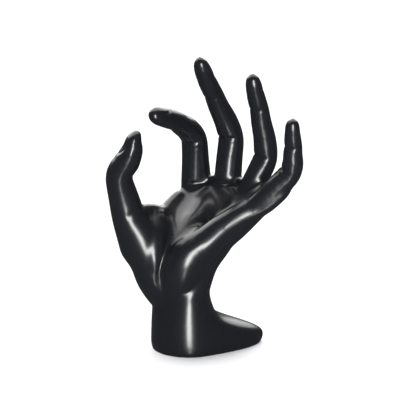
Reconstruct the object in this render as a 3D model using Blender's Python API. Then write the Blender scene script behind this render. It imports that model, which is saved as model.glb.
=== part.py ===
"""Hand-shaped jewelry stand: one solid casting of a left hand that makes a ring with thumb and forefinger.

The sculptor's masses are lofts: a column of level sections that rises from the spreading foot through the
wrist into the palm, four fingers, the thumb with the ball of its root, the heel of the hand, the web beside
the thumb and the pads of the palm. They are fused into one skin, the grooves between them are filled as soft
wax would fill them, and the foot is cut flat.
Sizes are in millimetres and angles in degrees. +X is the viewer's right, +Y is away and +Z is up.
"""

import math

import bmesh
import bpy
import numpy as np
from mathutils import Vector

MM = 0.001
UP = Vector((0.0, 0.0, 1.0))

# The palm faces this plan direction, measured from +X, and the four fingers curl that way.
PALM_FACING = 212.0

# Foot and wrist: an oval that narrows as it rises, with a toe that spreads out behind the hand.
WRIST_HEIGHT = 34.0
WRIST_X = -8.0
WRIST_WIDTH = 40.0
WRIST_THICKNESS = 28.5
FOOT_X = -5.3
FOOT_Y = -1.5
FOOT_WIDTH = 43.0
FOOT_THICKNESS = 38.0
FOOT_TUCK = 1.0
FOOT_TUCK_HEIGHT = 4.5
TOE_REACH = 28.0
TOE_DIRECTION = 22.0
TOE_BREADTH = 14.5
TOE_LIP_HEIGHT = 5.0
TOE_HEIGHT = 22.5

# Palm: level sections above the wrist, as height above it, shift of the middle from the wrist's, direction
# that the palm faces, half widths to the index and the little finger, depths to palm and back, and hollow.
PALM_SECTIONS = (
    (12.0, 5.5, 2.0, 212.0, 20.0, 19.5, 11.5, 11.0, 1.5),
    (21.5, 12.0, 5.0, 212.0, 22.0, 20.5, 9.5, 9.5, 3.0),
    (30.6, 18.5, 8.0, 210.0, 25.5, 21.0, 10.5, 9.0, 3.0),
    (40.0, 22.0, 11.0, 211.0, 26.0, 23.5, 11.0, 8.0, 3.5),
    (50.0, 27.0, 9.2, 223.0, 26.0, 26.0, 9.5, 7.0, 4.0),
    (56.5, 30.6, 8.0, 227.0, 27.5, 28.0, 8.0, 6.0, 5.0),
    (60.0, 31.6, 7.5, 228.0, 24.0, 26.0, 4.0, 3.0, 4.5),
)

# Each finger: its knuckle from the middle of the wrist, its three bones as steps in space, and its breadth
# at the knuckle, the two joints and the tip.
FINGERS = {
    "index": {
        "knuckle": (10.7, 31.5, 36.0),
        "bones": ((-3.2, -8.5, 48.4), (-10.9, -14.0, 9.5), (-12.3, -16.0, 4.9)),
        "breadths": (18.2, 16.0, 12.3, 10.2),
    },
    "middle": {
        "knuckle": (24.8, 19.0, 38.0),
        "bones": ((4.1, -1.0, 46.8), (-10.9, -10.0, 23.7), (-7.8, -13.0, 20.5)),
        "breadths": (17.2, 15.5, 12.0, 10.4),
    },
    "ring": {
        "knuckle": (30.5, 5.6, 37.0),
        "bones": ((17.8, -2.5, 37.4), (-5.4, -5.0, 27.7), (-4.1, -7.0, 18.5)),
        "breadths": (15.4, 14.6, 11.5, 9.4),
    },
    "little": {
        "knuckle": (31.2, -10.0, 37.8),
        "bones": ((29.4, -9.5, 31.0), (-0.1, -2.5, 14.5), (-0.6, -4.0, 15.4)),
        "breadths": (14.2, 13.2, 10.7, 7.7),
    },
}

# How a finger swells along its four bones, of which the first is the one in the palm: share of the bone,
# breadth, depth on the palm side and depth on the back, as shares of the breadth that the bone has there.
FINGER_FORM = (
    ((0.60, 0.72, 0.30, 0.34), (0.85, 0.90, 0.38, 0.40)),
    ((0.04, 1.00, 0.44, 0.43), (0.35, 0.98, 0.50, 0.44), (0.70, 0.96, 0.50, 0.43), (0.98, 1.00, 0.44, 0.47)),
    ((0.30, 0.97, 0.48, 0.44), (0.70, 0.96, 0.48, 0.42), (0.98, 1.00, 0.45, 0.44)),
    ((0.30, 1.03, 0.50, 0.40), (0.55, 1.00, 0.50, 0.38)),
)
JOINT_ROUNDING = 0.3
TIP_STEPS = 7

# Thumb, heel of the hand, web beside the thumb, pad inside the thumb's root, hollow bed of the palm and pad
# below the fingers: places from the middle of the wrist, each with half breadth and depths to both sides.
THUMB = (
    (-3.5, 2.0, -12.0, 8.0, 7.0, 8.6),
    (-7.0, 1.0, -3.0, 12.5, 8.0, 11.7),
    (-13.5, -0.5, 6.5, 14.8, 5.5, 11.4),
    (-16.5, -2.5, 17.0, 14.0, 9.5, 12.3),
    (-21.0, -4.5, 28.0, 12.0, 11.5, 13.8),
    (-27.5, -6.0, 40.0, 9.5, 9.6, 10.2),
    (-31.5, -7.7, 53.0, 8.2, 8.7, 8.1),
    (-33.3, -9.8, 65.5, 8.0, 7.3, 7.4),
    (-29.7, -11.5, 74.0, 8.2, 8.1, 6.0),
    (-26.6, -12.5, 80.1, 8.0, 6.7, 5.0),
    (-25.0, -13.5, 85.5, 6.2, 4.5, 4.3),
    (-23.5, -14.0, 89.2, 4.0, 2.7, 2.4),
    (-23.2, -14.3, 91.0, 0.9, 0.6, 0.6),
)
THUMB_FACING = 5.0
HEEL = (
    (-1.0, -1.0, -20.0, 8.0, 4.0, 6.0),
    (-1.0, -3.0, -8.0, 10.5, 6.5, 8.0),
    (-0.5, -6.0, 5.0, 13.0, 12.5, 9.0),
    (3.5, -9.0, 17.5, 12.8, 13.0, 9.0),
    (14.5, -10.5, 28.5, 9.3, 9.0, 8.0),
    (23.5, -12.0, 37.0, 7.6, 7.5, 7.0),
    (32.0, -13.3, 43.5, 7.0, 6.5, 6.0),
    (40.0, -14.3, 48.4, 7.0, 5.5, 5.5),
    (47.0, -15.5, 53.4, 7.4, 5.0, 5.0),
    (54.0, -17.0, 60.2, 7.3, 4.0, 4.5),
    (57.5, -18.3, 64.8, 5.5, 3.0, 3.5),
)
WEB = (
    (-25.0, -6.0, 34.5, 6.0, 14.0, 16.0),
    (-18.0, 2.5, 33.0, 8.0, 14.8, 24.0),
    (-10.0, 11.0, 31.5, 8.5, 13.9, 25.0),
    (-2.5, 19.5, 34.0, 8.5, 15.4, 20.0),
    (5.0, 26.5, 40.0, 8.5, 14.6, 11.0),
    (10.0, 30.0, 45.0, 5.0, 7.5, 6.0),
)
THUMB_PAD = (
    (-11.0, -3.0, 2.0, 5.0, 7.0, 5.0),
    (-13.0, -2.5, 9.0, 8.0, 13.0, 7.0),
    (-14.5, -1.5, 18.0, 10.5, 15.5, 9.0),
    (-15.5, 0.5, 27.0, 11.5, 15.5, 11.0),
    (-15.5, 3.0, 33.5, 11.0, 13.0, 12.0),
    (-14.5, 5.5, 38.5, 9.5, 9.5, 11.0),
    (-13.5, 8.0, 42.0, 7.5, 5.5, 8.0),
    (-13.0, 9.5, 43.7, 3.0, 2.0, 3.0),
)
PALM_BED = (
    (-1.0, -1.0, 0.0, 8.0, 8.0, 8.0),
    (0.0, -3.0, 10.0, 11.0, 11.5, 9.0),
    (1.0, -2.0, 19.5, 12.5, 12.0, 9.0),
    (2.5, 4.0, 27.0, 14.0, 10.5, 9.0),
    (6.0, 12.0, 35.0, 15.0, 9.5, 9.0),
    (13.0, 18.0, 44.0, 14.0, 8.5, 8.0),
    (19.0, 20.5, 52.0, 10.0, 6.0, 6.0),
)
KNUCKLE_PAD = (
    (5.0, 32.0, 43.0, 6.0, 4.5, 4.0),
    (10.0, 29.0, 46.0, 9.0, 7.5, 6.0),
    (25.0, 18.0, 48.0, 9.5, 8.0, 6.0),
    (37.0, 6.0, 49.0, 8.5, 7.0, 5.5),
    (41.0, -4.0, 49.0, 6.0, 5.0, 4.0),
)

SIDES = 24
COLUMN_SIDES = 48
ROWS_PER_SPAN = 3

# The skin that fuses the masses, and the roundest line that is left in it and on it.
SKIN_GRAIN = 1.1
SKIN_SOFTENING = 4
FILLET_RADIUS = 6.0
BLUNTING_RADIUS = 3.0
HOLLOW_MIDDLE = (8.0, 3.0, 41.0)
HOLLOW_REACH = 24.0
HOLLOW_RADIUS = 28.0
FILLING_STEPS = 370
EVENING_STEPS = 25
KEPT_DETAIL = 0.13


def unit_in_plan(degrees):
    turn = math.radians(degrees)
    return Vector((math.cos(turn), math.sin(turn), 0.0))


def ease(share):
    """0 to 1 with a level start and end."""
    t = min(1.0, max(0.0, share))
    return t * t * (3 - 2 * t)


facing = unit_in_plan(PALM_FACING)
wrist = Vector((WRIST_X, 0.0, WRIST_HEIGHT))


def smooth_rows(keys):
    """A Catmull-Rom curve through rows of numbers."""
    keys = np.array(keys, float)
    padded = np.vstack([2 * keys[0] - keys[1], keys, 2 * keys[-1] - keys[-2]])
    rows = []
    for i in range(len(keys) - 1):
        a, b, c, d = padded[i:i + 4]
        for k in range(ROWS_PER_SPAN):
            t = k / ROWS_PER_SPAN
            bend = (2 * a - 5 * b + 4 * c - d) * t**2 + (3 * b - a - 3 * c + d) * t**3
            rows.append(0.5 * (2 * b + (c - a) * t + bend))
    rows.append(keys[-1])
    return rows


def on_bones(points, bone, share):
    """A place along a chain of bones whose corners are rounded off."""
    here = points[bone].lerp(points[bone + 1], share)
    for corner, near in ((bone, share), (bone + 1, 1 - share)):
        if near < JOINT_ROUNDING and 0 < corner < len(points) - 1:
            before = points[corner].lerp(points[corner - 1], JOINT_ROUNDING)
            after = points[corner].lerp(points[corner + 1], JOINT_ROUNDING)
            t = 0.5 + 0.5 * near / JOINT_ROUNDING * (1 if corner == bone else -1)
            first = before.lerp(points[corner], t)
            second = points[corner].lerp(after, t)
            here = first.lerp(second, t)
    return here


def add_skin(mesh, rings):
    """A closed shell over rings of points, with a fan at each end."""
    loops = [[mesh.verts.new(Vector(point) * MM) for point in ring] for ring in rings]
    for lower, upper in zip(loops, loops[1:]):
        for i in range(len(lower)):
            j = (i + 1) % len(lower)
            mesh.faces.new((lower[i], lower[j], upper[j], upper[i]))
    for loop, order in ((loops[0], -1), (loops[-1], 1)):
        middle = mesh.verts.new(sum((v.co for v in loop), Vector()) / len(loop))
        for i in range(len(loop)):
            pair = (loop[i], loop[(i + 1) % len(loop)])[::order]
            mesh.faces.new((*pair, middle))


def add_limb(mesh, rows, towards):
    """A tube along rows of (x, y, z, half breadth, depth towards a direction, depth away from it)."""
    centres = [Vector(row[:3]) for row in rows]
    last = len(rows) - 1
    rings = []
    for i, (row, centre) in enumerate(zip(rows, centres)):
        along = (centres[min(i + 1, last)] - centres[max(i - 1, 0)]).normalized()
        depth = (towards - along * towards.dot(along)).normalized()
        across = depth.cross(along)
        ring = []
        for k in range(SIDES):
            turn = 2 * math.pi * k / SIDES
            reach = row[4] if math.sin(turn) > 0 else row[5]
            ring.append(centre + across * row[3] * math.cos(turn) + depth * reach * math.sin(turn))
        rings.append(ring)
    add_skin(mesh, rings)


def from_wrist(keys):
    return [(*(wrist + Vector(key[:3])), *key[3:]) for key in keys]


def level_ring(section, toe):
    """One section of the column: x, y, z, half widths, depths, hollow and how far the toe runs out."""
    x, y, z, direction, index_half, little_half, palm_depth, back_depth, hollow = section
    palm_way = unit_in_plan(direction)
    index_way = palm_way.cross(UP)
    toe_way = unit_in_plan(TOE_DIRECTION)
    toe_side = toe_way.cross(UP)
    centre = Vector((x, y, z))
    ring = []
    for k in range(COLUMN_SIDES):
        turn = 2 * math.pi * k / COLUMN_SIDES
        u, v = math.cos(turn), math.sin(turn)
        half = index_half if u > 0 else little_half
        depth = palm_depth if v > 0 else back_depth
        spot = centre + index_way * half * u + palm_way * (depth * v - hollow * (1 - u * u))
        out = spot - centre
        ahead = ease(out.dot(toe_way) / TOE_BREADTH)
        aside = max(0.0, 1 - (out.dot(toe_side) / TOE_BREADTH / 1.6) ** 2)
        ring.append(spot + toe_way * toe * ahead * aside)
    return ring


def add_column(mesh):
    """Foot, wrist and palm in one loft of level sections."""
    rings = []
    for share in (-0.08, 0.0, 0.03, 0.07, 0.11, 0.16, 0.22, 0.29, 0.36, 0.43, 0.51, 0.6, 0.72, 0.85):
        z = share * WRIST_HEIGHT
        up = ease(share)
        tuck = FOOT_TUCK * max(0.0, 1 - z / FOOT_TUCK_HEIGHT) ** 2
        half_width = FOOT_WIDTH / 2 + (WRIST_WIDTH - FOOT_WIDTH) / 2 * up - tuck
        half_depth = FOOT_THICKNESS / 2 + (WRIST_THICKNESS - FOOT_THICKNESS) / 2 * up**2 - tuck
        toe = TOE_REACH * (1 - ease((z - TOE_LIP_HEIGHT) / (TOE_HEIGHT - TOE_LIP_HEIGHT)))
        x = FOOT_X + (WRIST_X - FOOT_X) * up**2
        y = FOOT_Y * (1 - up)
        section = (x, y, z, PALM_FACING, half_width, half_width, half_depth, half_depth, 0.0)
        rings.append(level_ring(section, toe - tuck))
    halves = (WRIST_WIDTH / 2, WRIST_WIDTH / 2, WRIST_THICKNESS / 2, WRIST_THICKNESS / 2)
    start = (0.0, 0.0, 0.0, PALM_FACING, *halves, 0.0)
    sections = [start] + [(dx, dy, dz, *rest) for dz, dx, dy, *rest in PALM_SECTIONS]
    for section in smooth_rows(from_wrist(sections)):
        rings.append(level_ring(section, 0.0))
    add_skin(mesh, rings)


def finger_joints(spec):
    points = [wrist, wrist + Vector(spec["knuckle"])]
    for bone in spec["bones"]:
        points.append(points[-1] + Vector(bone))
    return points


def add_finger(mesh, spec):
    points = finger_joints(spec)
    breadths = (spec["breadths"][0], *spec["breadths"])
    keys = []
    for bone, stations in enumerate(FINGER_FORM):
        for share, wide, palm_side, back_side in stations:
            local = breadths[bone] + (breadths[bone + 1] - breadths[bone]) * share
            place = on_bones(points, bone, share)
            keys.append((*place, local * wide / 2, local * palm_side, local * back_side))
    rows = smooth_rows(keys)
    last = rows[-1]
    start = Vector(last[:3])
    reach = points[-1] - start
    for k in range(1, TIP_STEPS + 1):
        turn = math.pi / 2 * k / TIP_STEPS
        shrink = max(0.06, math.cos(turn) ** 0.8)
        rows.append((*(start + reach * math.sin(turn)), *(last[3:] * shrink)))
    add_limb(mesh, rows, facing)


def hand_masses():
    """All the sculptor's masses in one mesh, still crossing each other."""
    mesh = bmesh.new()
    add_column(mesh)
    for spec in FINGERS.values():
        add_finger(mesh, spec)
    add_limb(mesh, smooth_rows(from_wrist(THUMB)), unit_in_plan(THUMB_FACING))
    add_limb(mesh, smooth_rows(from_wrist(HEEL)), facing)
    add_limb(mesh, smooth_rows(from_wrist(WEB)), UP)
    add_limb(mesh, smooth_rows(from_wrist(THUMB_PAD)), Vector((0.0, -1.0, 0.0)))
    add_limb(mesh, smooth_rows(from_wrist(PALM_BED)), facing)
    add_limb(mesh, smooth_rows(from_wrist(KNUCKLE_PAD)), facing)
    bmesh.ops.recalc_face_normals(mesh, faces=mesh.faces)
    return object_from(mesh, "masses")


def object_from(mesh, name):
    data = bpy.data.meshes.new(name)
    mesh.to_mesh(data)
    mesh.free()
    thing = bpy.data.objects.new(name, data)
    bpy.context.collection.objects.link(thing)
    return thing


def below_floor():
    """The cutter that makes the foot's flat face, and reaches past the foot and its toe on every side."""
    mesh = bmesh.new()
    side = 4 * (FOOT_WIDTH + TOE_REACH) * MM
    bmesh.ops.create_cube(mesh, size=side)
    bmesh.ops.translate(mesh, verts=mesh.verts, vec=(0, 0, -side / 2))
    cutter = object_from(mesh, "below_floor")
    cutter.hide_render = True
    cutter.display_type = "WIRE"
    return cutter


def gloss_black():
    """Black cast resin with a smooth clear shine."""
    material = bpy.data.materials.new("gloss_black")
    material.use_nodes = True
    shader = material.node_tree.nodes["Principled BSDF"]
    shader.inputs["Base Color"].default_value = (0.012, 0.012, 0.015, 1.0)
    shader.inputs["Metallic"].default_value = 0.0
    shader.inputs["Roughness"].default_value = 0.16
    return material


def numbers(collection, name, width, kind):
    """One property of every element of a mesh, as an array."""
    values = np.empty(len(collection) * width, kind)
    collection.foreach_get(name, values)
    return values.reshape(-1, width)


def pull(places, ends, others):
    """Each point's step to the mean of its neighbours."""
    count = np.bincount(ends, minlength=len(places))[:, None]
    total = np.stack([np.bincount(ends, places[others, i], len(places)) for i in range(3)], 1)
    return total / count - places


def outward(places, triangles):
    """Each point's direction out of the skin."""
    a, b, c = (places[triangles[:, i]] for i in range(3))
    face = np.cross(b - a, c - a)
    total = np.zeros_like(places)
    for corner in range(3):
        for i in range(3):
            total[:, i] += np.bincount(triangles[:, corner], face[:, i], len(places))
    return total / np.linalg.norm(total, axis=1, keepdims=True)


def fused_skin(masses):
    """One skin over all the masses. The grooves between them are filled as soft wax would fill them."""
    fuse = masses.modifiers.new("fuse", "REMESH")
    fuse.mode = "VOXEL"
    fuse.voxel_size = SKIN_GRAIN * MM
    soften = masses.modifiers.new("soften", "SMOOTH")
    soften.factor = 0.5
    soften.iterations = SKIN_SOFTENING
    bpy.context.view_layer.update()
    graph = bpy.context.evaluated_depsgraph_get()
    skin = bpy.data.meshes.new_from_object(masses.evaluated_get(graph), depsgraph=graph)
    bpy.data.objects.remove(masses)
    skin.calc_loop_triangles()
    triangles = numbers(skin.loop_triangles, "vertices", 3, int)
    edges = numbers(skin.edges, "vertices", 2, int)
    ends = np.concatenate([edges[:, 0], edges[:, 1]])
    others = np.concatenate([edges[:, 1], edges[:, 0]])
    places = numbers(skin.vertices, "co", 3, float) / MM
    away = np.linalg.norm(places - np.array(wrist + Vector(HOLLOW_MIDDLE)), axis=1)
    inside = np.exp(-((away / HOLLOW_REACH) ** 4))
    fill_to = SKIN_GRAIN**2 / 4 * (inside / HOLLOW_RADIUS + (1 - inside) / FILLET_RADIUS)
    for step in range(FILLING_STEPS):
        normals = outward(places, triangles)
        move = pull(places, ends, others)
        rise = (move * normals).sum(1)
        sunk = np.maximum(0.0, rise - fill_to)
        proud = np.minimum(0.0, rise + SKIN_GRAIN**2 / 4 / BLUNTING_RADIUS)
        slide = move - normals * rise[:, None]
        places = places + normals * (0.95 * sunk + 0.3 * proud)[:, None] + 0.2 * slide
    for step in range(EVENING_STEPS):
        places = places + 0.6 * pull(places, ends, others)
        places = places - 0.612 * pull(places, ends, others)
    skin.vertices.foreach_set("co", (places * MM).ravel())
    skin.shade_smooth()
    return skin


for old in list(bpy.data.objects):
    bpy.data.objects.remove(old)

hand = bpy.data.objects.new("hand", fused_skin(hand_masses()))
bpy.context.collection.objects.link(hand)
hand.data.materials.clear()
hand.data.materials.append(gloss_black())

# The skin is thinned where it is nearly flat, and the foot is cut level.
thin_out = hand.modifiers.new("thin_out", "DECIMATE")
thin_out.ratio = KEPT_DETAIL
flat_foot = hand.modifiers.new("flat_foot", "BOOLEAN")
flat_foot.operation = "DIFFERENCE"
flat_foot.solver = "EXACT"
flat_foot.object = below_floor()
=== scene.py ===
"""A gloss black display hand for rings, bracelets and necklaces, on a pale studio floor."""

import math

import bmesh
import bpy
import numpy as np
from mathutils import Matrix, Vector


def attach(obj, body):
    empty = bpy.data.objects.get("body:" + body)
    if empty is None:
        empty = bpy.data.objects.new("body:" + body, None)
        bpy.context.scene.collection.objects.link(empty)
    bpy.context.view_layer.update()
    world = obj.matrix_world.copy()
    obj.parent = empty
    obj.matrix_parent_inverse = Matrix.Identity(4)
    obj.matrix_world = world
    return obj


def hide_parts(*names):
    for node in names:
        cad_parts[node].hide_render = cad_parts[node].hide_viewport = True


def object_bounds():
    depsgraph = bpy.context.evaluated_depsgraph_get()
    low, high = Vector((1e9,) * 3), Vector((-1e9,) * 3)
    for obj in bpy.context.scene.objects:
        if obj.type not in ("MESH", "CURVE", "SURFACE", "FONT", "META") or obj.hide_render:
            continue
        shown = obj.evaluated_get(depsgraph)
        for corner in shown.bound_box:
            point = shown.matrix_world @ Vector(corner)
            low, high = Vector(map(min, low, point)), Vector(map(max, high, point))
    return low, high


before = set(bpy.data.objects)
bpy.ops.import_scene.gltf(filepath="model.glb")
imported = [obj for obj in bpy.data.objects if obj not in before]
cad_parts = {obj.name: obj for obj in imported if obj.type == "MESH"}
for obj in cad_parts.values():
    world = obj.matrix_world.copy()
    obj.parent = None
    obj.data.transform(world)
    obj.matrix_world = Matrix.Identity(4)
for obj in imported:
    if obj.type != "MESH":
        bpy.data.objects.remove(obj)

cad_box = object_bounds()

# The foot, wrist and palm: one column of level sections, cast in resin with the rest of the hand. The foot
# is an oval that spreads into a blunt toe behind the hand, and the palm leans back over that toe.
MM = 0.001
UP = Vector((0.0, 0.0, 1.0))
PALM_FACING = 212.0
WRIST_HEIGHT = 34.0
WRIST_X = -8.0
WRIST_WIDTH = 40.0
WRIST_THICKNESS = 28.5
FOOT_X = -5.3
FOOT_Y = -1.5
FOOT_WIDTH = 43.0
FOOT_THICKNESS = 38.0
FOOT_TUCK = 1.0
FOOT_TUCK_HEIGHT = 4.5
TOE_REACH = 28.0
TOE_DIRECTION = 22.0
TOE_BREADTH = 14.5
TOE_SIDE_SPREAD = 1.6
TOE_LIP_HEIGHT = 5.0
TOE_HEIGHT = 22.5
LEVEL_SPACING = 0.028
PALM_SECTIONS = (
    (12.0, 5.5, 2.0, 212.0, 20.0, 19.5, 11.5, 11.0, 1.5),
    (21.5, 12.0, 5.0, 212.0, 22.0, 20.5, 9.5, 9.5, 3.0),
    (30.6, 18.5, 8.0, 210.0, 25.5, 21.0, 10.5, 9.0, 3.0),
    (40.0, 22.0, 11.0, 211.0, 26.0, 23.5, 11.0, 8.0, 3.5),
    (50.0, 27.0, 9.2, 223.0, 26.0, 26.0, 9.5, 7.0, 4.0),
    (56.5, 30.6, 8.0, 227.0, 27.5, 28.0, 8.0, 6.0, 5.0),
    (60.0, 31.6, 7.5, 228.0, 24.0, 26.0, 4.0, 3.0, 4.5),
)


def unit_in_plan(degrees):
    """A level direction, counted from x."""
    turn = math.radians(degrees)
    return Vector((math.cos(turn), math.sin(turn), 0.0))


def ease(share):
    """A smooth step from 0 to 1."""
    t = min(1.0, max(0.0, share))
    return t * t * (3 - 2 * t)


def smooth_rows(keys, steps):
    """A Catmull-Rom curve through rows of numbers."""
    keys = np.array(keys, float)
    padded = np.vstack([2 * keys[0] - keys[1], keys, 2 * keys[-1] - keys[-2]])
    rows = []
    for i in range(len(keys) - 1):
        a, b, c, d = padded[i:i + 4]
        for k in range(steps):
            t = k / steps
            bend = (2 * a - 5 * b + 4 * c - d) * t**2 + (3 * b - a - 3 * c + d) * t**3
            rows.append(0.5 * (2 * b + (c - a) * t + bend))
    rows.append(keys[-1])
    return rows


def add_skin(mesh, rings):
    """A closed shell over rings of points, with a fan at each end."""
    loops = [[mesh.verts.new(Vector(point) * MM) for point in ring] for ring in rings]
    for lower, upper in zip(loops, loops[1:]):
        for i in range(len(lower)):
            j = (i + 1) % len(lower)
            mesh.faces.new((lower[i], lower[j], upper[j], upper[i]))
    for loop, order in ((loops[0], -1), (loops[-1], 1)):
        middle = mesh.verts.new(sum((v.co for v in loop), Vector()) / len(loop))
        for i in range(len(loop)):
            pair = (loop[i], loop[(i + 1) % len(loop)])[::order]
            mesh.faces.new((*pair, middle))


facing = unit_in_plan(PALM_FACING)
wrist = Vector((WRIST_X, 0.0, WRIST_HEIGHT))
casting = bmesh.new()


def from_wrist(keys):
    """Rows measured from the wrist, as rows in the stand's own frame."""
    return [(*(wrist + Vector(key[:3])), *key[3:]) for key in keys]


def level_ring(section, toe, sides=144):
    """One level section: an oval that is hollowed on the palm's side and drawn out to the toe."""
    x, y, z, direction, index_half, little_half, palm_depth, back_depth, hollow = section
    palm_way = unit_in_plan(direction)
    index_way = palm_way.cross(UP)
    toe_way = unit_in_plan(TOE_DIRECTION)
    toe_side = toe_way.cross(UP)
    centre = Vector((x, y, z))
    ring = []
    for k in range(sides):
        turn = 2 * math.pi * k / sides
        u, v = math.cos(turn), math.sin(turn)
        half = index_half if u > 0 else little_half
        depth = palm_depth if v > 0 else back_depth
        spot = centre + index_way * half * u + palm_way * (depth * v - hollow * (1 - u * u))
        out = spot - centre
        ahead = ease(out.dot(toe_way) / TOE_BREADTH)
        aside = max(0.0, 1 - (out.dot(toe_side) / TOE_BREADTH / TOE_SIDE_SPREAD) ** 2)
        ring.append(spot + toe_way * toe * ahead * aside)
    return ring


column = []
for step in range(-2, 33):
    z = LEVEL_SPACING * step * WRIST_HEIGHT
    up = ease(z / WRIST_HEIGHT)
    tuck = FOOT_TUCK * max(0.0, 1 - z / FOOT_TUCK_HEIGHT) ** 2
    half_width = FOOT_WIDTH / 2 + (WRIST_WIDTH - FOOT_WIDTH) / 2 * up - tuck
    half_depth = FOOT_THICKNESS / 2 + (WRIST_THICKNESS - FOOT_THICKNESS) / 2 * up**2 - tuck
    toe = TOE_REACH * (1 - ease((z - TOE_LIP_HEIGHT) / (TOE_HEIGHT - TOE_LIP_HEIGHT)))
    middle = (FOOT_X + (WRIST_X - FOOT_X) * up**2, FOOT_Y * (1 - up), z)
    section = (*middle, PALM_FACING, half_width, half_width, half_depth, half_depth, 0.0)
    column.append(level_ring(section, toe - tuck))
wrist_halves = (WRIST_WIDTH / 2, WRIST_WIDTH / 2, WRIST_THICKNESS / 2, WRIST_THICKNESS / 2)
palm = [(0.0, 0.0, 0.0, PALM_FACING, *wrist_halves, 0.0)]
palm += [(dx, dy, dz, *rest) for dz, dx, dy, *rest in PALM_SECTIONS]
for section in smooth_rows(from_wrist(palm), 10):
    column.append(level_ring(section, 0.0))
add_skin(casting, column)

# The thumb with the ball of its root, the heel of the hand, the skin between thumb and forefinger, and the
# pads of the palm. They were sculpted as full round masses that flow into the wrist, so each is a limb
# whose rows are x, y, z from the wrist, half breadth, depth towards its facing and depth away from it.
THUMB_FACING = 5.0
ROW_STEPS = 8
THUMB = (
    (-3.5, 2.0, -12.0, 8.0, 7.0, 8.6),
    (-7.0, 1.0, -3.0, 12.5, 8.0, 11.7),
    (-13.5, -0.5, 6.5, 14.8, 5.5, 11.4),
    (-16.5, -2.5, 17.0, 14.0, 9.5, 12.3),
    (-21.0, -4.5, 28.0, 12.0, 11.5, 13.8),
    (-27.5, -6.0, 40.0, 9.5, 9.6, 10.2),
    (-31.5, -7.7, 53.0, 8.2, 8.7, 8.1),
    (-33.3, -9.8, 65.5, 8.0, 7.3, 7.4),
    (-29.7, -11.5, 74.0, 8.2, 8.1, 6.0),
    (-26.6, -12.5, 80.1, 8.0, 6.7, 5.0),
    (-25.0, -13.5, 85.5, 6.2, 4.5, 4.3),
    (-23.5, -14.0, 89.2, 4.0, 2.7, 2.4),
    (-23.2, -14.3, 91.0, 0.9, 0.6, 0.6),
)
HEEL = (
    (-1.0, -1.0, -20.0, 8.0, 4.0, 6.0),
    (-1.0, -3.0, -8.0, 10.5, 6.5, 8.0),
    (-0.5, -6.0, 5.0, 13.0, 12.5, 9.0),
    (3.5, -9.0, 17.5, 12.8, 13.0, 9.0),
    (14.5, -10.5, 28.5, 9.3, 9.0, 8.0),
    (23.5, -12.0, 37.0, 7.6, 7.5, 7.0),
    (32.0, -13.3, 43.5, 7.0, 6.5, 6.0),
    (40.0, -14.3, 48.4, 7.0, 5.5, 5.5),
    (47.0, -15.5, 53.4, 7.4, 5.0, 5.0),
    (54.0, -17.0, 60.2, 7.3, 4.0, 4.5),
    (57.5, -18.3, 64.8, 5.5, 3.0, 3.5),
)
WEB = (
    (-25.0, -6.0, 34.5, 6.0, 14.0, 16.0),
    (-18.0, 2.5, 33.0, 8.0, 14.8, 24.0),
    (-10.0, 11.0, 31.5, 8.5, 13.9, 25.0),
    (-2.5, 19.5, 34.0, 8.5, 15.4, 20.0),
    (5.0, 26.5, 40.0, 8.5, 14.6, 11.0),
    (10.0, 30.0, 45.0, 5.0, 7.5, 6.0),
)
THUMB_PAD = (
    (-11.0, -3.0, 2.0, 5.0, 7.0, 5.0),
    (-13.0, -2.5, 9.0, 8.0, 13.0, 7.0),
    (-14.5, -1.5, 18.0, 10.5, 15.5, 9.0),
    (-15.5, 0.5, 27.0, 11.5, 15.5, 11.0),
    (-15.5, 3.0, 33.5, 11.0, 13.0, 12.0),
    (-14.5, 5.5, 38.5, 9.5, 9.5, 11.0),
    (-13.5, 8.0, 42.0, 7.5, 5.5, 8.0),
    (-13.0, 9.5, 43.7, 3.0, 2.0, 3.0),
)
PALM_BED = (
    (-1.0, -1.0, 0.0, 8.0, 8.0, 8.0),
    (0.0, -3.0, 10.0, 11.0, 11.5, 9.0),
    (1.0, -2.0, 19.5, 12.5, 12.0, 9.0),
    (2.5, 4.0, 27.0, 14.0, 10.5, 9.0),
    (6.0, 12.0, 35.0, 15.0, 9.5, 9.0),
    (13.0, 18.0, 44.0, 14.0, 8.5, 8.0),
    (19.0, 20.5, 52.0, 10.0, 6.0, 6.0),
)
KNUCKLE_PAD = (
    (5.0, 32.0, 43.0, 6.0, 4.5, 4.0),
    (10.0, 29.0, 46.0, 9.0, 7.5, 6.0),
    (25.0, 18.0, 48.0, 9.5, 8.0, 6.0),
    (37.0, 6.0, 49.0, 8.5, 7.0, 5.5),
    (41.0, -4.0, 49.0, 6.0, 5.0, 4.0),
)


def add_limb(mesh, rows, towards, sides=72):
    """A tube along rows of x, y, z, half breadth, depth towards a direction and depth away from it."""
    centres = [Vector(row[:3]) for row in rows]
    last = len(rows) - 1
    rings = []
    for i, (row, centre) in enumerate(zip(rows, centres)):
        along = (centres[min(i + 1, last)] - centres[max(i - 1, 0)]).normalized()
        depth = (towards - along * towards.dot(along)).normalized()
        across = depth.cross(along)
        ring = []
        for k in range(sides):
            turn = 2 * math.pi * k / sides
            reach = row[4] if math.sin(turn) > 0 else row[5]
            ring.append(centre + across * row[3] * math.cos(turn) + depth * reach * math.sin(turn))
        rings.append(ring)
    add_skin(mesh, rings)


for mass, towards in (
    (THUMB, unit_in_plan(THUMB_FACING)),
    (HEEL, facing),
    (WEB, UP),
    (THUMB_PAD, Vector((0.0, -1.0, 0.0))),
    (PALM_BED, facing),
    (KNUCKLE_PAD, facing),
):
    add_limb(casting, smooth_rows(from_wrist(mass), ROW_STEPS), towards)

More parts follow.
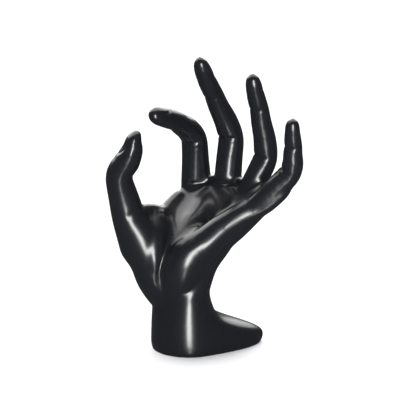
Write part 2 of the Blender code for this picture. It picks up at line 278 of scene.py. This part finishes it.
# The four fingers: each is a knuckle and three bones, with the flesh swelling between the joints. They curl
# towards the palm, the forefinger most, and their roots run on into the palm. The rows of the form are the
# bone, the share of its length, the breadth, and the depths on the palm's side and the back.
FINGERS = {
    "index": {
        "knuckle": (10.7, 31.5, 36.0),
        "bones": ((-3.2, -8.5, 48.4), (-10.9, -14.0, 9.5), (-12.3, -16.0, 4.9)),
        "breadths": (18.2, 16.0, 12.3, 10.2),
        "root_pad": 1.18,
    },
    "middle": {
        "knuckle": (24.8, 19.0, 38.0),
        "bones": ((4.1, -1.0, 46.8), (-10.9, -10.0, 23.7), (-7.8, -13.0, 20.5)),
        "breadths": (17.2, 15.5, 12.0, 10.4),
        "root_pad": 1.0,
    },
    "ring": {
        "knuckle": (30.5, 5.6, 37.0),
        "bones": ((17.8, -2.5, 37.4), (-5.4, -5.0, 27.7), (-4.1, -7.0, 18.5)),
        "breadths": (15.4, 14.6, 11.5, 9.4),
        "root_pad": 1.0,
    },
    "little": {
        "knuckle": (31.2, -10.0, 37.8),
        "bones": ((29.4, -9.5, 31.0), (-0.1, -2.5, 14.5), (-0.6, -4.0, 15.4)),
        "breadths": (14.2, 13.2, 10.7, 7.7),
        "root_pad": 1.0,
    },
}
FINGER_FORM = (
    (0, 0.60, 0.72, 0.30, 0.34),
    (0, 0.85, 0.90, 0.38, 0.40),
    (1, 0.04, 1.00, 0.44, 0.43),
    (1, 0.35, 0.98, 0.50, 0.44),
    (1, 0.70, 0.96, 0.50, 0.43),
    (1, 0.98, 1.00, 0.44, 0.47),
    (2, 0.30, 0.97, 0.48, 0.44),
    (2, 0.70, 0.96, 0.48, 0.42),
    (2, 0.98, 1.00, 0.45, 0.44),
    (3, 0.30, 1.03, 0.50, 0.40),
    (3, 0.55, 1.00, 0.50, 0.38),
)
JOINT_ROUNDING = 0.3
TIP_STEPS = 16
TIP_BLUNTNESS = 0.8
TIP_LEAST = 0.06


def on_bones(points, bone, share):
    """A place along a chain of bones whose corners are rounded off."""
    here = points[bone].lerp(points[bone + 1], share)
    for corner, near in ((bone, share), (bone + 1, 1 - share)):
        if near < JOINT_ROUNDING and 0 < corner < len(points) - 1:
            before = points[corner].lerp(points[corner - 1], JOINT_ROUNDING)
            after = points[corner].lerp(points[corner + 1], JOINT_ROUNDING)
            t = 0.5 + 0.5 * near / JOINT_ROUNDING * (1 if corner == bone else -1)
            first = before.lerp(points[corner], t)
            second = points[corner].lerp(after, t)
            here = first.lerp(second, t)
    return here


finger_joints = {}
for name, spec in FINGERS.items():
    points = [wrist, wrist + Vector(spec["knuckle"])]
    for bone in spec["bones"]:
        points.append(points[-1] + Vector(bone))
    finger_joints[name] = points
    breadths = (spec["breadths"][0], *spec["breadths"])
    keys = []
    for bone, share, wide, palm_side, back_side in FINGER_FORM:
        local = breadths[bone] + (breadths[bone + 1] - breadths[bone]) * share
        if bone == 1 and share < 0.5:
            palm_side *= spec["root_pad"]
        place = on_bones(points, bone, share)
        keys.append((*place, local * wide / 2, local * palm_side, local * back_side))
    rows = smooth_rows(keys, ROW_STEPS)
    last_row = rows[-1]
    start = Vector(last_row[:3])
    reach = points[-1] - start
    for k in range(1, TIP_STEPS + 1):
        turn = math.pi / 2 * k / TIP_STEPS
        shrink = max(TIP_LEAST, math.cos(turn) ** TIP_BLUNTNESS)
        rows.append((*(start + reach * math.sin(turn)), *(last_row[3:] * shrink)))
    add_limb(casting, rows, facing)

# The casting's skin: the masses are fused and the lines where they cross are filled as soft wax would fill
# them, most in the hollow of the palm. The mould's surface was polished, so the skin is even all over.
SKIN_GRAIN = 0.75
SOFTENING = 0.5
SOFTENING_STEPS = 12
FILLET_RADIUS = 6.0
BLUNTING_RADIUS = 3.0
HOLLOW_MIDDLE = (8.0, 3.0, 41.0)
HOLLOW_REACH = 24.0
HOLLOW_RADIUS = 28.0
FILLING_STEPS = 800
FILLING, BLUNTING, SLIDING = 0.95, 0.3, 0.2
EVENING_STEPS = 60
EVENING_IN, EVENING_OUT = 0.6, 0.612

bmesh.ops.recalc_face_normals(casting, faces=casting.faces)
rough = bpy.data.meshes.new("rough_hand")
casting.to_mesh(rough)
casting.free()
rough_hand = bpy.data.objects.new("rough_hand", rough)
bpy.context.scene.collection.objects.link(rough_hand)
fuse = rough_hand.modifiers.new("fuse", "REMESH")
fuse.mode = "VOXEL"
fuse.voxel_size = SKIN_GRAIN * MM
soften = rough_hand.modifiers.new("soften", "SMOOTH")
soften.factor = SOFTENING
soften.iterations = SOFTENING_STEPS
bpy.context.view_layer.update()
graph = bpy.context.evaluated_depsgraph_get()
skin = bpy.data.meshes.new_from_object(rough_hand.evaluated_get(graph), depsgraph=graph)
bpy.data.objects.remove(rough_hand)

points = np.empty(len(skin.vertices) * 3)
skin.vertices.foreach_get("co", points)
points = points.reshape(-1, 3) / MM
edges = np.empty(len(skin.edges) * 2, int)
skin.edges.foreach_get("vertices", edges)
edges = edges.reshape(-1, 2)
ends = np.concatenate([edges[:, 0], edges[:, 1]])
others = np.concatenate([edges[:, 1], edges[:, 0]])
valence = np.bincount(ends, minlength=len(points))[:, None]
skin.calc_loop_triangles()
triangles = np.empty(len(skin.loop_triangles) * 3, int)
skin.loop_triangles.foreach_get("vertices", triangles)
triangles = triangles.reshape(-1, 3)


def pull(places):
    """Each point's step to the mean of its neighbours."""
    total = np.stack([np.bincount(ends, places[others, i], len(places)) for i in range(3)], 1)
    return total / valence - places


def outward(places):
    """The skin's normal at each point."""
    a, b, c = (places[triangles[:, i]] for i in range(3))
    face = np.cross(b - a, c - a)
    total = np.zeros_like(places)
    for corner in range(3):
        for i in range(3):
            total[:, i] += np.bincount(triangles[:, corner], face[:, i], len(places))
    return total / np.linalg.norm(total, axis=1, keepdims=True)


away = np.linalg.norm(points - np.array(wrist + Vector(HOLLOW_MIDDLE)), axis=1)
inside = np.exp(-(away / HOLLOW_REACH) ** 4)
fill_to = SKIN_GRAIN**2 / 4 * (inside / HOLLOW_RADIUS + (1 - inside) / FILLET_RADIUS)
blunt_to = SKIN_GRAIN**2 / 4 / BLUNTING_RADIUS
for step in range(FILLING_STEPS):
    if step % 5 == 0:
        normals = outward(points)
    move = pull(points)
    rise = (move * normals).sum(1)
    sunk = np.maximum(0.0, rise - fill_to)
    proud = np.minimum(0.0, rise + blunt_to)
    slide = move - normals * rise[:, None]
    points = points + normals * (FILLING * sunk + BLUNTING * proud)[:, None] + SLIDING * slide
for step in range(EVENING_STEPS):
    points = points + EVENING_IN * pull(points)
    points = points - EVENING_OUT * pull(points)

# The folds of the skin and the nails: shallow lines that the sculptor pressed into the soft master, after
# evening the palm below the fingers. What is on the palm is placed as a viewer in front sees it, in
# millimetres across and up from the middle of the picture. Each line has its width, its depth and the
# points that it runs through.
PICTURE_MIDDLE = (2.75, 3.0, 83.5)
PICTURE_TILT = math.radians(10.0)
VIEWER_DISTANCE = 750.0
PALM_PLACE = (6.0, -6.0)
PALM_SPAN = (16.0, 12.0)
PALM_STEPS = 60
PALM_LINES = {
    "ball_of_thumb": (
        1.1,
        0.9,
        ((-16.7, -18.9), (-17.8, -22.2), (-19.4, -27.8), (-21.6, -34.4), (-23.3, -42.2)),
    ),
    "edge_of_heel": (1.6, 0.5, ((-9.4, -21.1), (-12.8, -26.6), (-15.5, -33.3), (-17.2, -40.0))),
    "across_hollow": (1.6, 0.45, ((14.0, 9.0), (18.0, 4.5), (17.0, -1.5), (11.0, -7.5))),
    "root_of_thumb": (1.6, 0.3, ((-40.5, -10.5), (-38.3, -7.8), (-35.5, -6.1), (-33.3, -3.9))),
    "root_of_forefinger": (1.0, 0.9, ((-7.8, 8.9), (-2.2, 9.4), (2.8, 10.0), (6.1, 11.7))),
    "root_of_middle_finger": (1.0, 0.9, ((7.8, 11.1), (12.2, 10.0), (16.7, 9.4), (21.1, 10.5))),
}
JOINT_FOLDS = ((2, 0.0, 1.1, 0.8), (2, -2.8, 0.8, 0.2), (3, 0.0, 1.0, 0.4))
NAIL_PLACE = 0.66
NAIL_HALF_LENGTH = 0.27
NAIL_HALF_WIDTH = 0.36
NAIL_SQUARENESS = 2.6
NAIL_EDGE_WIDTH = 0.16
NAIL_WAY = {
    "index": (0.2, 0.1, 1.0),
    "middle": (0.75, 0.5, 0.4),
    "ring": (0.8, 0.5, 0.3),
    "little": (0.85, 0.5, 0.2),
}
THUMB_NAIL = ((-26.4, -12.8, 81.0), (6.2, -2.5, 15.2), (-1.0, 0.15, 0.1), 5.2, 4.6)
NAIL_EDGE = 0.3

line_of_sight = np.array((0.0, math.cos(PICTURE_TILT), -math.sin(PICTURE_TILT)))
picture_up = np.array((0.0, math.sin(PICTURE_TILT), math.cos(PICTURE_TILT)))
offset = points - np.array(PICTURE_MIDDLE)
scale = VIEWER_DISTANCE / (VIEWER_DISTANCE + offset @ line_of_sight)
seen = np.stack([offset[:, 0] * scale, offset @ picture_up * scale], 1)
towards_viewer = np.clip(-outward(points) @ line_of_sight * 1.5, 0, 1)
aside = (seen - PALM_PLACE) / PALM_SPAN
palm = np.exp(-((aside**2).sum(1) ** 2)) * towards_viewer
once = points
for step in range(PALM_STEPS):
    once = once + EVENING_IN * pull(once)
twice = once
for step in range(PALM_STEPS):
    twice = twice + EVENING_IN * pull(twice)
points = points + palm[:, None] * (2 * once - twice - points)
normals = outward(points)
press = np.zeros(len(points))
for width, depth, line in PALM_LINES.values():
    path = np.array(smooth_rows(line, 6))
    nearest = np.full(len(points), 1e9)
    passed = np.zeros(len(points))
    for count, (start, end) in enumerate(zip(path, path[1:])):
        share = np.clip((seen - start) @ (end - start) / ((end - start) @ (end - start)), 0, 1)
        gap = np.linalg.norm(seen - start - share[:, None] * (end - start), axis=1)
        passed = np.where(gap < nearest, (count + share) / (len(path) - 1), passed)
        nearest = np.minimum(nearest, gap)
    fading = np.sin(passed * math.pi) ** 0.5
    press += depth * fading * np.exp(-((nearest / width) ** 2)) * towards_viewer
nails = [(wrist + Vector(THUMB_NAIL[0]), Vector(THUMB_NAIL[1]), *THUMB_NAIL[2:])]
for name, joints in finger_joints.items():
    breadths = FINGERS[name]["breadths"]
    for joint, shift, width, depth in JOINT_FOLDS:
        before = (joints[joint] - joints[joint - 1]).normalized()
        after = (joints[joint + 1] - joints[joint]).normalized()
        along = np.array((before + after).normalized())
        palm_way = np.array(after - before) if joint == 2 else np.array(facing)
        palm_way = palm_way - along * (palm_way @ along)
        palm_way /= np.linalg.norm(palm_way)
        offset = points - np.array(joints[joint]) - along * shift
        near = np.linalg.norm(offset, axis=1) < breadths[joint - 1] * 0.8
        inner = np.clip(normals @ palm_way * 1.4, 0, 1)
        press += depth * np.exp(-((offset @ along / width) ** 2)) * near * inner
    tip_bone = joints[4] - joints[3]
    place = joints[3].lerp(joints[4], NAIL_PLACE)
    nail_halves = (tip_bone.length * NAIL_HALF_LENGTH, breadths[3] * NAIL_HALF_WIDTH)
    nails.append((place, tip_bone, NAIL_WAY[name], *nail_halves))
for place, along, back_way, half_length, half_width in nails:
    along = np.array(along.normalized())
    back_way = np.array(back_way) - along * (np.array(back_way) @ along)
    back_way /= np.linalg.norm(back_way)
    offset = points - np.array(place)
    up = offset @ along / half_length
    aside = offset @ np.cross(along, back_way) / half_width
    edge = np.abs(up) ** NAIL_SQUARENESS + np.abs(aside) ** NAIL_SQUARENESS
    edge = edge ** (1 / NAIL_SQUARENESS)
    outer = np.clip(normals @ back_way * 2, 0, 1) * np.clip(1.2 - up, 0, 1)
    near = np.linalg.norm(offset, axis=1) < half_width * 3.3
    press += NAIL_EDGE * np.exp(-(((edge - 1) / NAIL_EDGE_WIDTH) ** 2)) * outer * near
points = points - normals * press[:, None]
points = points + 0.3 * pull(points)
points = points - 0.31 * pull(points)

# The casting's outer size: it keeps within the size of the solids that it stands for, and its foot is
# ground flat on the floor as the real one is.
FLOOR_CUT = 0.3
low = np.array(cad_box[0]) / MM
high = np.array(cad_box[1]) / MM
above = points[points[:, 2] > 0]
least, most = above.min(0), above.max(0)
kept_least, kept_most = np.maximum(least, low), np.minimum(most, high)
shrink = (kept_most - kept_least) / (most - least)
points[:, :2] = (points[:, :2] - least[:2]) * shrink[:2] + kept_least[:2]
points[:, 2] *= min(1.0, high[2] / most[2])

skin.vertices.foreach_set("co", (points * MM).ravel())
skin.update()
skin.shade_smooth()
hand = bpy.data.objects.new("hand_casting", skin)
bpy.context.scene.collection.objects.link(hand)

below = bmesh.new()
bmesh.ops.create_cube(below, size=FLOOR_CUT)
bmesh.ops.translate(below, verts=below.verts, vec=(0, 0, -FLOOR_CUT / 2))
below_mesh = bpy.data.meshes.new("below_floor")
below.to_mesh(below_mesh)
below.free()
below_floor = bpy.data.objects.new("below_floor", below_mesh)
bpy.context.scene.collection.objects.link(below_floor)
grind = hand.modifiers.new("grind", "BOOLEAN")
grind.operation = "DIFFERENCE"
grind.solver = "EXACT"
grind.object = below_floor
bpy.context.view_layer.update()
graph = bpy.context.evaluated_depsgraph_get()
ground = bpy.data.meshes.new_from_object(hand.evaluated_get(graph), depsgraph=graph)
hand.modifiers.clear()
hand.data = ground
bpy.data.objects.remove(below_floor)

# The finish: black pigmented resin under a clear gloss, with the faint waviness that a sprayed coat keeps
# and a breath of handling on it. The colour is nearly black, a little cool.
gloss = bpy.data.materials.new("black_gloss_resin")
gloss.use_nodes = True
nodes = gloss.node_tree.nodes
links = gloss.node_tree.links
shader = nodes["Principled BSDF"]
shader.inputs["Base Color"].default_value = (0.0062, 0.0066, 0.0080, 1.0)
shader.inputs["Metallic"].default_value = 0.0
shader.inputs["IOR"].default_value = 1.46
place = nodes.new("ShaderNodeTexCoord")
haze = nodes.new("ShaderNodeTexNoise")
haze.inputs["Scale"].default_value = 45.0
haze.inputs["Detail"].default_value = 4.0
links.new(place.outputs["Object"], haze.inputs["Vector"])
haze_range = nodes.new("ShaderNodeMapRange")
haze_range.inputs["To Min"].default_value = 0.21
haze_range.inputs["To Max"].default_value = 0.27
links.new(haze.outputs["Fac"], haze_range.inputs["Value"])
links.new(haze_range.outputs["Result"], shader.inputs["Roughness"])
peel = nodes.new("ShaderNodeTexNoise")
peel.inputs["Scale"].default_value = 260.0
peel.inputs["Detail"].default_value = 2.0
links.new(place.outputs["Object"], peel.inputs["Vector"])
bump = nodes.new("ShaderNodeBump")
bump.inputs["Strength"].default_value = 0.05
bump.inputs["Distance"].default_value = 0.0004
links.new(peel.outputs["Fac"], bump.inputs["Height"])
links.new(bump.outputs["Normal"], shader.inputs["Normal"])
hand.data.materials.clear()
hand.data.materials.append(gloss)
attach(hand, "root")
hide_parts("hand")

# The studio floor: a plain pale sweep that the hand stands on. It is not part of the object.
FLOOR_REACH = 30.0
floor_mesh = bmesh.new()
bmesh.ops.create_grid(floor_mesh, x_segments=1, y_segments=1, size=FLOOR_REACH)
floor_data = bpy.data.meshes.new("studio_floor")
floor_mesh.to_mesh(floor_data)
floor_mesh.free()
studio_floor = bpy.data.objects.new("studio_floor", floor_data)
bpy.context.scene.collection.objects.link(studio_floor)
pale = bpy.data.materials.new("pale_paper")
pale.use_nodes = True
pale.node_tree.nodes["Principled BSDF"].inputs["Base Color"].default_value = (0.89, 0.89, 0.90, 1.0)
pale.node_tree.nodes["Principled BSDF"].inputs["Roughness"].default_value = 0.9
floor_data.materials.append(pale)
studio_floor.visible_glossy = False
studio_floor.visible_shadow = False

# The studio lights: one tall soft box below the camera, whose image is the bright strip down each finger, a
# small dim one low in front that the leaning forefinger and thumb mirror, a wide soft window above and
# behind the hand that the hollow of the palm mirrors, and a faint surround.
LIGHTS_AIM = (0.0, 0.0, 0.11)


def soft_box(name, place, width, height, watts):
    """A rectangle of soft light, out of the camera's view, that faces the hand."""
    lamp = bpy.data.lights.new(name, "AREA")
    lamp.shape = "RECTANGLE"
    lamp.size = width
    lamp.size_y = height
    lamp.energy = watts
    box = bpy.data.objects.new(name, lamp)
    box.location = place
    box.rotation_euler = (Vector(LIGHTS_AIM) - Vector(place)).to_track_quat("-Z", "Y").to_euler()
    box.visible_camera = False
    bpy.context.scene.collection.objects.link(box)


soft_box("front_box", (0.004, -0.60, 0.150), 0.145, 0.42, 5.8)
soft_box("low_box", (0.020, -0.60, -0.200), 0.080, 0.26, 0.5)
sky = bpy.data.lights.new("window", "SUN")
sky.energy = 5.5
sky.angle = math.radians(90.0)
window = bpy.data.objects.new("window", sky)
window.rotation_euler = Vector((-0.12, 0.6, 0.78)).to_track_quat("Z", "Y").to_euler()
bpy.context.scene.collection.objects.link(window)
world = bpy.data.worlds.new("studio")
bpy.context.scene.world = world
world.use_nodes = True
world.node_tree.nodes["Background"].inputs["Color"].default_value = (0.93, 0.95, 1.0, 1.0)
world.node_tree.nodes["Background"].inputs["Strength"].default_value = 0.10
bpy.context.scene.view_settings.view_transform = "Standard"

# The camera: level with the fingers and a little above, at the distance that gives the photo's mild
# perspective.
TARGET = Vector((2.75, 3.0, 83.5)) * MM
DISTANCE = 0.750
LOOK_DOWN = math.radians(10.0)
FRAME_WIDTH = 0.222
ahead = Vector((0.0, math.cos(LOOK_DOWN), -math.sin(LOOK_DOWN)))
lens = bpy.data.cameras.new("camera")
lens.sensor_width = 36.0
lens.lens = 36.0 * DISTANCE / FRAME_WIDTH
camera = bpy.data.objects.new("camera", lens)
camera.location = TARGET - ahead * DISTANCE
camera.rotation_euler = ahead.to_track_quat("-Z", "Y").to_euler()
bpy.context.scene.collection.objects.link(camera)
bpy.context.scene.camera = camera
